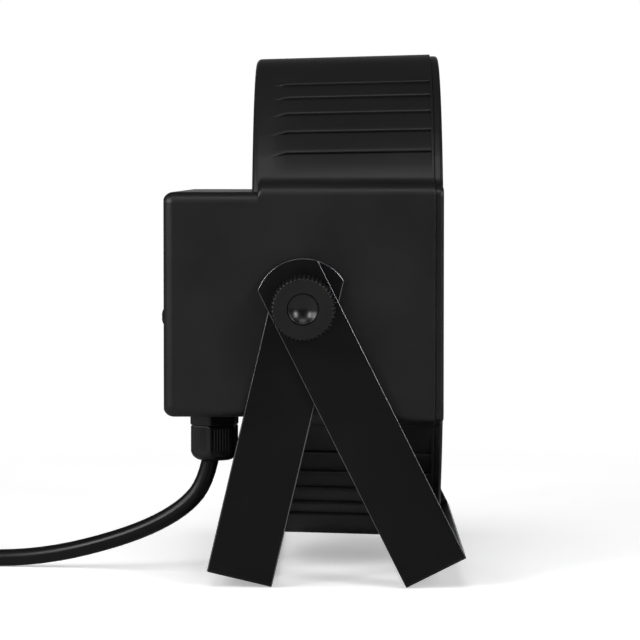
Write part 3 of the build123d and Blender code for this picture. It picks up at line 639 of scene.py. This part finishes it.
        # A long lens from the lamp's left, a touch above and ahead of its pivot, looking slightly down
        away_m, focal_mm = 1.6, 186.8625
        heading = Vector((-0.0060441221, 1, -0.04502871))
        camera = bpy.data.objects.new("Camera", bpy.data.cameras.new("Camera"))
        camera.data.sensor_width = 36.0
        camera.data.lens = focal_mm
        camera.data.clip_end = 60
        camera.location = (axis_x + 16.3 * MM, -away_m, axis_z + 60.9 * MM)
        camera.rotation_euler = heading.to_track_quat("-Z", "Y").to_euler()
        context.scene.collection.objects.link(camera)
        context.scene.camera = camera
        context.scene.view_settings.view_transform = "Standard"
        return {"FINISHED"}


class PAR_OT_cord(bpy.types.Operator):
    """Lays the cord from the gland to its coil and plug as one curve"""

    bl_idname = "par.cord"
    bl_label = "Cord"

    def execute(self, context):
        cord = context.scene.par_cord
        floor_z = cord.cord_r + 0.05 * MM
        drop = (
            (-42.66, -50.0, -63.5),
            (-44.94, -49.8, -82.44),
            (-56.74, -49.1, -97.70),
            (-82.76, -46.1, -110.81),
        )
        route = [(axis_x + x * MM, y * MM, axis_z + z * MM) for x, y, z in drop]
        route += [(axis_x + x * MM, y * MM, floor_z) for x, y in ((-125.9, -38.9), (-169.5, -34.3))]
        middle = Vector((axis_x - 212 * MM, 13 * MM, 0))
        per_turn = 16
        # The curve cuts inside its points, so they stand out from the turns by this much
        swell = sqrt(1 / cos(pi / per_turn))
        inmost = 2 * cord.coil_inner - cord.coil_outer
        upper_z = floor_z + 7.9 * MM
        # Turns so far, and radius and height there: three rings on the floor, then back out on top
        lays = (
            (0.0, cord.coil_outer, floor_z),
            (0.75, cord.coil_outer, floor_z),
            (1.0, cord.coil_inner, floor_z),
            (1.75, cord.coil_inner, floor_z),
            (2.0, inmost, floor_z),
            (2.5, inmost, floor_z),
            (2.75, inmost, upper_z),
            (3.25, inmost, upper_z),
            (3.5, cord.coil_inner, upper_z),
            (3.75, cord.coil_inner, upper_z),
            (4.0, cord.coil_outer, upper_z),
            (4.25, cord.coil_outer, upper_z),
        )
        for index in range(4 * per_turn + per_turn // 4 + 1):
            turns = index / per_turn
            before, after = next(pair for pair in zip(lays, lays[1:]) if turns <= pair[1][0])
            part = (turns - before[0]) / (after[0] - before[0])
            ease = part * part * (3 - 2 * part)
            radius = before[1] + ease * (after[1] - before[1])
            high = before[2] + ease * (after[2] - before[2])
            angle = -pi / 2 - 2 * pi * turns
            radius *= swell
            route.append((middle.x + radius * cos(angle), middle.y + radius * sin(angle), high))
        tail_x = middle.x - cord.coil_outer
        route += [(tail_x, y * MM, z * MM) for y, z in ((19, 11.8), (31, 10.4), (41, 10), (47, 10))]
        body = cad_copy("power_plug", 1.2 * MM, 2)
        blades = cad_copy("plug_pins", 0.5 * MM, 2)
        plug = [
            piece("plug_body", body, finish["plug"], "head", ("power_plug",), 30),
            piece("plug_blades", blades, finish["brass"], "head", ("plug_pins",), 30),
        ]
        line = bpy.data.curves.new("Cord", "CURVE")
        line.dimensions = "3D"
        spline = line.splines.new("NURBS")
        spline.points.add(len(route) - 1)
        for point, place in zip(spline.points, route):
            point.co = (*place, 1.0)
        spline.order_u = 3
        spline.use_endpoint_u = True
        spline.resolution_u = 6
        line.bevel_depth = cord.cord_r
        line.bevel_resolution = 6
        line.use_fill_caps = True
        made = bpy.data.objects.new("mains_cord", line)
        context.scene.collection.objects.link(made)
        line.materials.append(finish["sheath"])
        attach(made, "head")
        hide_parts("power_cord", "power_cord_coil", "power_cord_tail")
        return {"FINISHED"}


class PAR_OT_housing(bpy.types.Operator):
    """Moulds the housing: drum with its louvres, ears and rear box in one shell"""

    bl_idname = "par.housing"
    bl_label = "Housing"

    def execute(self, context):
        head = context.scene.par_head
        rim_x = drum_back + head.drum_rim_r
        tip_x = axis_x - 15.0 * MM
        knee_x = axis_x - 8.0 * MM
        end_x = axis_x + 57.8 * MM
        inner_x = drum_back + head.wall
        ear_round = 2.6 * MM
        rings = []

        def station(x, inset=0.0, cut=0.0, drop=0.0, on_arc=False, lift=head.ear_lift):
            """Adds the section through the drum and its ears."""
            radius = drum_radius(max(x, rim_x)) - drop
            rings.append(whole(x, quarter(radius, inset, cut, on_arc, 0.0 if on_arc else lift)))

        def box_station(x, inset):
            """Adds the section through the box, its flat top under the drum's points."""
            shape = quarter(drum_radius(rim_x) - head.drum_rim_r, inset, 0.0, True)
            rings.append(whole(x, [(y, min(z, head.ear_half - inset)) for y, z in shape]))

        station(lip_x, 2.9 * MM)
        station(lip_x, 0.35 * MM)
        station(lip_x - 0.1 * MM, 0.1 * MM)
        station(lip_x - 0.35 * MM)
        station(end_x)
        station(end_x - 0.05 * MM, cut=1.0)
        for share in (0.66, 0.33, 0.0):
            station(knee_x + share * (end_x - knee_x), cut=1.0)
        station(knee_x + 0.4 * (tip_x - knee_x), cut=0.6)
        station(knee_x + 0.8 * (tip_x - knee_x), cut=0.2)
        station(tip_x)
        for index in range(7):
            turn = pi / 2 * index / 6
            station(rim_x + ear_round * (1 - sin(turn)), lift=head.ear_lift * cos(turn))
        station(rim_x, on_arc=True)
        for index in range(1, 7):
            turn = pi / 2 * index / 6
            station(rim_x - head.drum_rim_r * sin(turn), drop=head.drum_rim_r * (1 - cos(turn)), on_arc=True)
        box_station(drum_back, 0.0)
        box_station(axis_x - 40 * MM, 0.0)
        for index in range(8):
            turn = radians(68) * index / 7
            box_station(box_back + head.box_rim_r * (1 - sin(turn)), head.box_rim_r * (1 - cos(turn)))
        box_station(box_back + 1.0 * MM, head.wall)
        box_station(inner_x, head.wall)
        station(inner_x, head.wall, drop=head.drum_rim_r, on_arc=True)
        station(inner_x + 4 * MM, head.wall)
        station(lip_x - 0.1 * MM, head.wall)
        rings.append(rings[0])
        # Air slots fanned out above and below the box
        slot_ring, slot_step, slot_count = 92 * MM, 8, 11
        slot_size = Matrix.Diagonal((8 * MM, 16 * MM, 3 * MM, 1))
        slots = []
        for middle in (90, 270):
            for index in range(slot_count):
                turn = radians(middle + slot_step * (index - slot_count // 2))
                y, z = slot_ring * cos(turn), head_z + slot_ring * sin(turn)
                place = Matrix.Translation((drum_back + 1 * MM, y, z))
                slots.append(place @ Matrix.Rotation(turn, 4, "X") @ slot_size)
        bm = carve(sleeve(rings), boxes(slots))
        piece("housing", bm, finish["abs"], "head", ("main_housing",), 24)
        return {"FINISHED"}


class PAR_OT_bezel(bpy.types.Operator):
    """Moulds the front frame round the lens plate, with its six screws sunk in"""

    bl_idname = "par.bezel"
    bl_label = "Bezel"

    def execute(self, context):
        head = context.scene.par_head
        front = lip_x + 3.8 * MM
        seat_x, tail_x = lip_x + 1.62 * MM, lip_x - 5 * MM
        edge_r = 1.6 * MM
        rings = []

        def station(x, inset):
            """Adds the head's outline, set in by so much."""
            rings.append(whole(x, quarter(head.drum_lip_r, head.bezel_inset + inset, lift=head.ear_lift)))

        station(lip_x, 0.5 * MM)
        station(lip_x + 0.1 * MM, 0.12 * MM)
        station(lip_x + 0.4 * MM, 0.0)
        for index in range(7):
            turn = pi / 2 * index / 6
            station(front - edge_r * (1 - sin(turn)), edge_r * (1 - cos(turn)))
        outline = rings[0]
        # The opening, the seat behind it for the lens plate, and the spigot inside the lip
        hole = ((front, 104.2), (front - 0.35 * MM, 103.35), (front - 1.1 * MM, 103.0), (seat_x, 103.0))
        spigot = ((seat_x, 106.0), (tail_x, 106.0), (tail_x, 112.2), (lip_x, 112.2))
        for x, radius in hole + spigot:
            rings.append(on_circle(outline, x, radius * MM))
        rings.append(rings[0])
        pit = [(high * MM, r * MM) for high, r in ((-1.6, 0), (-1.6, 3.2), (1, 3.2), (1, 0))]
        sunk = [turned(pit, (front, y * MM, head_z + z * MM), (1, 0, 0), 32, False) for y, z in BEZEL_SCREWS]
        bm = carve(sleeve(rings), merged(sunk))
        piece("bezel", bm, finish["bezel"], "head", ("front_bezel",), 24)
        return {"FINISHED"}


class PAR_OT_lens(bpy.types.Operator):
    """Moulds the clear plate with a low dome over each emitter"""

    bl_idname = "par.lens"
    bl_label = "Lens plate"

    def execute(self, context):
        face = lip_x + 1.6 * MM
        plate_r, plate_deep = 105.8 * MM, 3.0 * MM
        disc = ((-plate_deep, 0.0), (-plate_deep, plate_r), (0.0, plate_r), (0.0, 0.0))
        plate = turned(disc, (face, 0, head_z), (1, 0, 0), 128, False)
        # Each dome is the cap of a ball, with its foot sunk into the plate
        dome_r, dome_high = 9.7 * MM, 2.5 * MM
        ball = (dome_r**2 + dome_high**2) / (2 * dome_high)
        dome = [(-0.5 * MM, 0.0), (-0.5 * MM, dome_r)]
        for r in (dome_r, 0.85 * dome_r, 0.65 * dome_r, 0.45 * dome_r, 0.25 * dome_r):
            dome.append((sqrt(ball**2 - r**2) - ball + dome_high, r))
        dome.append((dome_high, 0.0))
        domes = []
        for count, ring_r in ((24, 92.0), (18, 69.0), (12, 46.0)):
            for index in range(count):
                turn = 2 * pi * index / count
                at = (face, ring_r * MM * cos(turn), head_z + ring_r * MM * sin(turn))
                domes.append(turned(dome, at, (1, 0, 0), 24, False))
        bm = carve(plate, merged(domes), "UNION")
        piece("lens_plate_clear", bm, finish["acrylic"], "head", ("lens_plate",), 20)
        return {"FINISHED"}


class PAR_OT_yokes(bpy.types.Operator):
    """Bends both yokes from coated strip with softened edges, and lays their washers"""

    bl_idname = "par.yokes"
    bl_label = "Yokes"

    def execute(self, context):
        yoke = context.scene.par_yoke
        for name, body in (("inner_yoke", "inner_leg"), ("outer_yoke", "outer_leg")):
            bm = cad_copy(name, yoke.edge, 3, edge_slot=1)
            strip = piece(name + "_strip", bm, finish["coat"], body, (name,), 30)
            # The bevels take the second slot, the pale metal that paints the edge highlights
            strip.data.materials.append(finish["edge"])
        for side, word in SIDES:
            pair = merged([washer(side, 0.0, 1.0, 15.0, 0.2), washer(side, 3.1, 3.9, 12.0, 0.2)])
            piece(word + "_washers", pair, finish["nylon"], "head", ())
            captive = washer(side, 6.0, 7.2, 12.5, 0.3)
            stood_for = (word + "_captive_washer",)
            piece(word + "_captive", captive, finish["steel"], word + "_clamp", stood_for)
        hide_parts("yoke_washers")
        return {"FINISHED"}


class PAR_OT_knobs(bpy.types.Operator):
    """Moulds both clamp knobs with their fine teeth, and plugs in the glossy caps"""

    bl_idname = "par.knobs"
    bl_label = "Knobs"

    def execute(self, context):
        knob = context.scene.par_knob
        back = 123.25 * MM
        front = knob.high
        # Depth along one tooth's groove, as a share of the full depth
        tooth = (0.0, 0.0, 0.5, 1.0, 1.0, 0.5)
        # Height, radius, and how much of the grooves shows there
        profile = (
            (0.0, thread_r * MM, 0.0),
            (0.0, knob.back_r - 1.3 * MM, 0.0),
            (0.15 * MM, knob.back_r - 0.5 * MM, 0.5),
            (0.6 * MM, knob.back_r, 1.0),
            (front - 1.3 * MM, knob.front_r, 1.0),
            (front - 0.7 * MM, knob.front_r - 0.15 * MM, 0.9),
            (front - 0.3 * MM, knob.front_r - 0.4 * MM, 0.6),
            (front - 0.08 * MM, knob.front_r - 0.75 * MM, 0.25),
            (front, knob.front_r - 1.05 * MM, 0.0),
            (front, 7.5 * MM, 0.0),
            (front - 0.1 * MM, 7.15 * MM, 0.0),
            (front - 0.4 * MM, 6.95 * MM, 0.0),
            (front - 2.3 * MM, 6.85 * MM, 0.0),
            (front - 2.3 * MM, thread_r * MM, 0.0),
        )
        # The cap's foot and lip, then its dish, which is part of a ball
        ball = 9.2
        cap = [(-2.85, 0.0), (-2.85, 3.9), (-2.1, 3.95), (-2.1, 6.75), (-0.25, 6.8)]
        cap += [(-0.06, 6.72), (0.0, 6.5), (-0.05, 6.3), (-0.19, 6.1)]
        cap += [(6.68 - sqrt(ball**2 - r**2), r) for r in (5.9, 5.4, 4.6, 3.7, 2.8, 1.9, 1.0, 0.0)]
        cap = [(h * MM, r * MM) for h, r in cap]
        for side, word in SIDES:
            rings = []
            for high, radius, deep in profile:
                ring = []
                for index in range(knob.teeth * len(tooth)):
                    turn = 2 * pi * index / (knob.teeth * len(tooth))
                    r = radius - deep * knob.tooth * tooth[index % len(tooth)]
                    ring.append((axis_x + r * cos(turn), side * (back + high), axis_z + r * sin(turn)))
                rings.append(ring)
            rings.append(rings[0])
            bm = sleeve(rings)
            body, node = word + "_handle", word + "_knob"
            piece(word + "_grip", bm, finish["nylon"], body, (node,), 40)
            bm = turned(cap, (axis_x, side * (back + front), axis_z), (0, side, 0), 64, False)
            piece(word + "_cover", bm, finish["gloss"], body, (node + "_cap",), 40)
        return {"FINISHED"}


class PAR_OT_gland(bpy.types.Operator):
    """Moulds the cable gland: a hexagonal collar and a fluted cap nut with its bell mouth"""

    bl_idname = "par.gland"
    bl_label = "Gland"

    def execute(self, context):
        cord = context.scene.par_cord
        gland_x, gland_y = axis_x - 42.4 * MM, -50 * MM
        # Both hexagons are screwed home with a corner a little off -Y
        home = radians(-9.6)
        under = head_z - box_half * MM
        steps = 24

        def ring(z, flats, corner_cut=0.0, groove=0.0, roundness=0.0, circle_r=0.0):
            """Hexagon at z under the box, in millimetres, drawn towards a circle by its roundness."""
            points = []
            for index in range(6 * steps):
                turn = 2 * pi * index / (6 * steps) - pi / 2 + home
                step = index % steps
                off = (step / steps - 0.5) * pi / 3
                r = min(flats / 2 / cos(off), flats / sqrt(3) - corner_cut)
                if 2 < step < 22 and step % 3 == 1:
                    r -= groove
                r += roundness * (circle_r - r)
                points.append((gland_x + r * MM * cos(turn), gland_y + r * MM * sin(turn), under + z * MM))
            return points

        wide = cord.gland_flats / MM
        flats = 20.4
        # Name, CAD node, rows of the hexagon as ring takes them, and height and radius of the round part
        mouldings = (
            (
                "gland_collar",
                "gland_body",
                (
                    (0.0, wide - 1.2, 0.5),
                    (-0.25, wide - 0.2, 0.35),
                    (-0.6, wide, 0.3),
                    (-7.4, wide, 0.3),
                    (-7.75, wide - 0.2, 0.35),
                    (-8.0, wide - 0.5, 0.4),
                ),
                ((-8.0, 8.2), (-15.9, 8.2), (-15.9, 5.0), (0.0, 5.0)),
            ),
            (
                "gland_nut",
                "gland_cap_nut",
                (
                    (-8.3, flats - 0.4, 0.4),
                    (-8.5, flats - 0.2, 0.35),
                    (-8.8, flats, 0.3),
                    (-9.5, flats, 0.3),
                    (-9.8, flats, 0.3, 0.28),
                    (-19.9, flats, 0.3, 0.28),
                    (-20.4, flats, 0.3),
                    (-21.3, flats, 0.5, 0.0, 0.25, 10.3),
                    (-22.4, flats, 0.8, 0.0, 0.6, 10.0),
                    (-23.4, flats, 1.0, 0.0, 0.9, 9.2),
                ),
                # The bell mouth, then the bore and the seat over the collar
                (
                    (-24.15, 8.2),
                    (-24.5, 7.2),
                    (-24.4, 6.3),
                    (-23.3, 5.5),
                    (-20.5, 5.1),
                    (-17.7, 5.1),
                    (-17.7, 8.3),
                    (-8.3, 8.3),
                ),
            ),
        )
        for name, node, hexagons, circles in mouldings:
            rings = [ring(*row) for row in hexagons]
            rings += [ring(z, flats, roundness=1.0, circle_r=radius) for z, radius in circles]
            rings.append(rings[0])
            piece(name, sleeve(rings), finish["nylon"], "head", (node,), 28)
        return {"FINISHED"}


class PAR_OT_back(bpy.types.Operator):
    """Softens the edges of the back panel and of what stands on it"""

    bl_idname = "par.back"
    bl_label = "Back panel"

    def execute(self, context):
        keys = []
        for key in ("menu", "down", "up", "enter"):
            keys.append((key + "_button", key + "_key_top", "abs", key + "_key", "button_plastic", 0.3))
        # CAD node, piece, finish, body, slot, and how far its edges are rounded in mm
        softened = (
            ("back_panel", "panel", "coat", "head", "panel_steel", 0.3),
            ("dmx_in_shell", "data_in_shell", "zinc", "head", "zinc", 0.35),
            ("dmx_out_shell", "data_out_shell", "zinc", "head", "zinc", 0.35),
            ("fan_frame", "fan_housing", "nylon", "head", "fan_plastic", 0.3),
            ("fan_rotor", "fan_wheel", "nylon", "fan", "fan_plastic", 0.2),
            *keys,
            ("heat_sink", "finned_sink", "aluminium", "head", "sink_aluminium", 0.25),
        )
        for node, name, look, body, slot, edge in softened:
            bm = cad_copy(node, edge * MM, 2)
            if look == "zinc":
                # Pressed flanges stand less proud than their solids
                for vert in bm.verts:
                    vert.co.x = max(vert.co.x, panel_out + 0.5 * (vert.co.x - panel_out))
            piece(name, bm, finish[look], body, (node,), 30)
        return {"FINISHED"}


class PAR_OT_screws(bpy.types.Operator):
    """Turns the screw heads and cuts a cross in each"""

    bl_idname = "par.screws"
    bl_label = "Screws"

    def execute(self, context):
        panel = [(side * 108.5, z) for side in (-1, 1) for z in (-41.5, -5.5, 41.5)]
        fan = [(y, z) for y in (-30, 30) for z in (-30, 30)]
        data = [(y + dy, 4 + dz) for y in (-60, -89) for dy, dz in ((-9.5, 12), (9.5, -12))]
        # Piece, CAD node, places, x under the head, the way it faces, and its radius and height in mm
        sets = (
            ("bezel_screw_heads", "bezel_screws", BEZEL_SCREWS, lip_x + 2.2 * MM, 1, 3.0, 1.3),
            ("panel_screw_heads", "panel_screws", panel, panel_out, -1, 3.5, 1.4),
            ("fan_screw_heads", "fan_screws", fan, panel_out, -1, 2.7, 1.2),
            ("data_screw_heads", "dmx_screws", data, panel_out - 0.42 * MM, -1, 2.3, 0.4),
        )
        for name, node, places, x, way, radius, tall in sets:
            heads, crosses = [], []
            for y, z in places:
                at = (x, y * MM, head_z + z * MM)
                # The corner screws of the panel are countersunk, those between them stand proud
                high = 0.45 if node == "panel_screws" and abs(z) > 10 else tall
                profile = ((-0.6, 0), (-0.6, radius), (0.25 * high, radius), (0.7 * high, 0.85 * radius))
                profile += ((0.95 * high, 0.5 * radius), (high, 0.0))
                heads.append(turned([(h * MM, r * MM) for h, r in profile], at, (way, 0, 0), 32, False))
                long, thin = 0.58 * radius * MM, 0.13 * radius * MM
                shape = [(long, thin), (thin, thin), (thin, long)]
                shape += [(-a, b) for a, b in reversed(shape)]
                shape += [(-a, -b) for a, b in shape]
                # Each cross stops at its own turn
                turn = 0.6 + 1.7 * (y + 2 * z)
                across = [(a * cos(turn) - b * sin(turn), a * sin(turn) + b * cos(turn)) for a, b in shape]
                rings = []
                for depth in (0.35 * high * MM, (high + 0.5) * MM):
                    rings.append([(at[0] + way * depth, at[1] + a, at[2] + b) for a, b in across])
                crosses.append(sleeve(rings, capped=True))
            bm = carve(merged(heads), merged(crosses))
            piece(name, bm, finish["black_steel"], "head", (node,), 35)
        return {"FINISHED"}


# Panel, registration and the run

STEPS = (
    PAR_OT_finishes,
    PAR_OT_stage,
    PAR_OT_cord,
    PAR_OT_housing,
    PAR_OT_bezel,
    PAR_OT_lens,
    PAR_OT_yokes,
    PAR_OT_knobs,
    PAR_OT_gland,
    PAR_OT_back,
    PAR_OT_screws,
)


class PAR_PT_panel(bpy.types.Panel):
    """Lists the steps in the order in which they build the lamp"""

    bl_idname = "PAR_PT_panel"
    bl_label = "Flat par can"
    bl_space_type = "VIEW_3D"
    bl_region_type = "UI"
    bl_category = "Par can"

    def draw(self, context):
        for step in STEPS:
            self.layout.operator(step.bl_idname)
        for name in SETTINGS:
            box = self.layout.box()
            settings = getattr(context.scene, name)
            for key in settings.__annotations__:
                box.prop(settings, key)


def register():
    """Registers the settings, the steps and the panel."""
    for name, kind in SETTINGS.items():
        bpy.utils.register_class(kind)
        setattr(bpy.types.Scene, name, PointerProperty(type=kind))
    for step in STEPS:
        bpy.utils.register_class(step)
    bpy.utils.register_class(PAR_PT_panel)


def unregister():
    """Takes back what register did."""
    bpy.utils.unregister_class(PAR_PT_panel)
    for step in reversed(STEPS):
        bpy.utils.unregister_class(step)
    for name, kind in SETTINGS.items():
        delattr(bpy.types.Scene, name)
        bpy.utils.unregister_class(kind)


def main():
    """Builds the lamp step by step."""
    register()
    for step in STEPS:
        prefix, name = step.bl_idname.split(".")
        if getattr(getattr(bpy.ops, prefix), name)() != {"FINISHED"}:
            raise RuntimeError(step.bl_label + " wasn't built")
    bpy.context.view_layer.update()


if __name__ == "__main__":
    main()
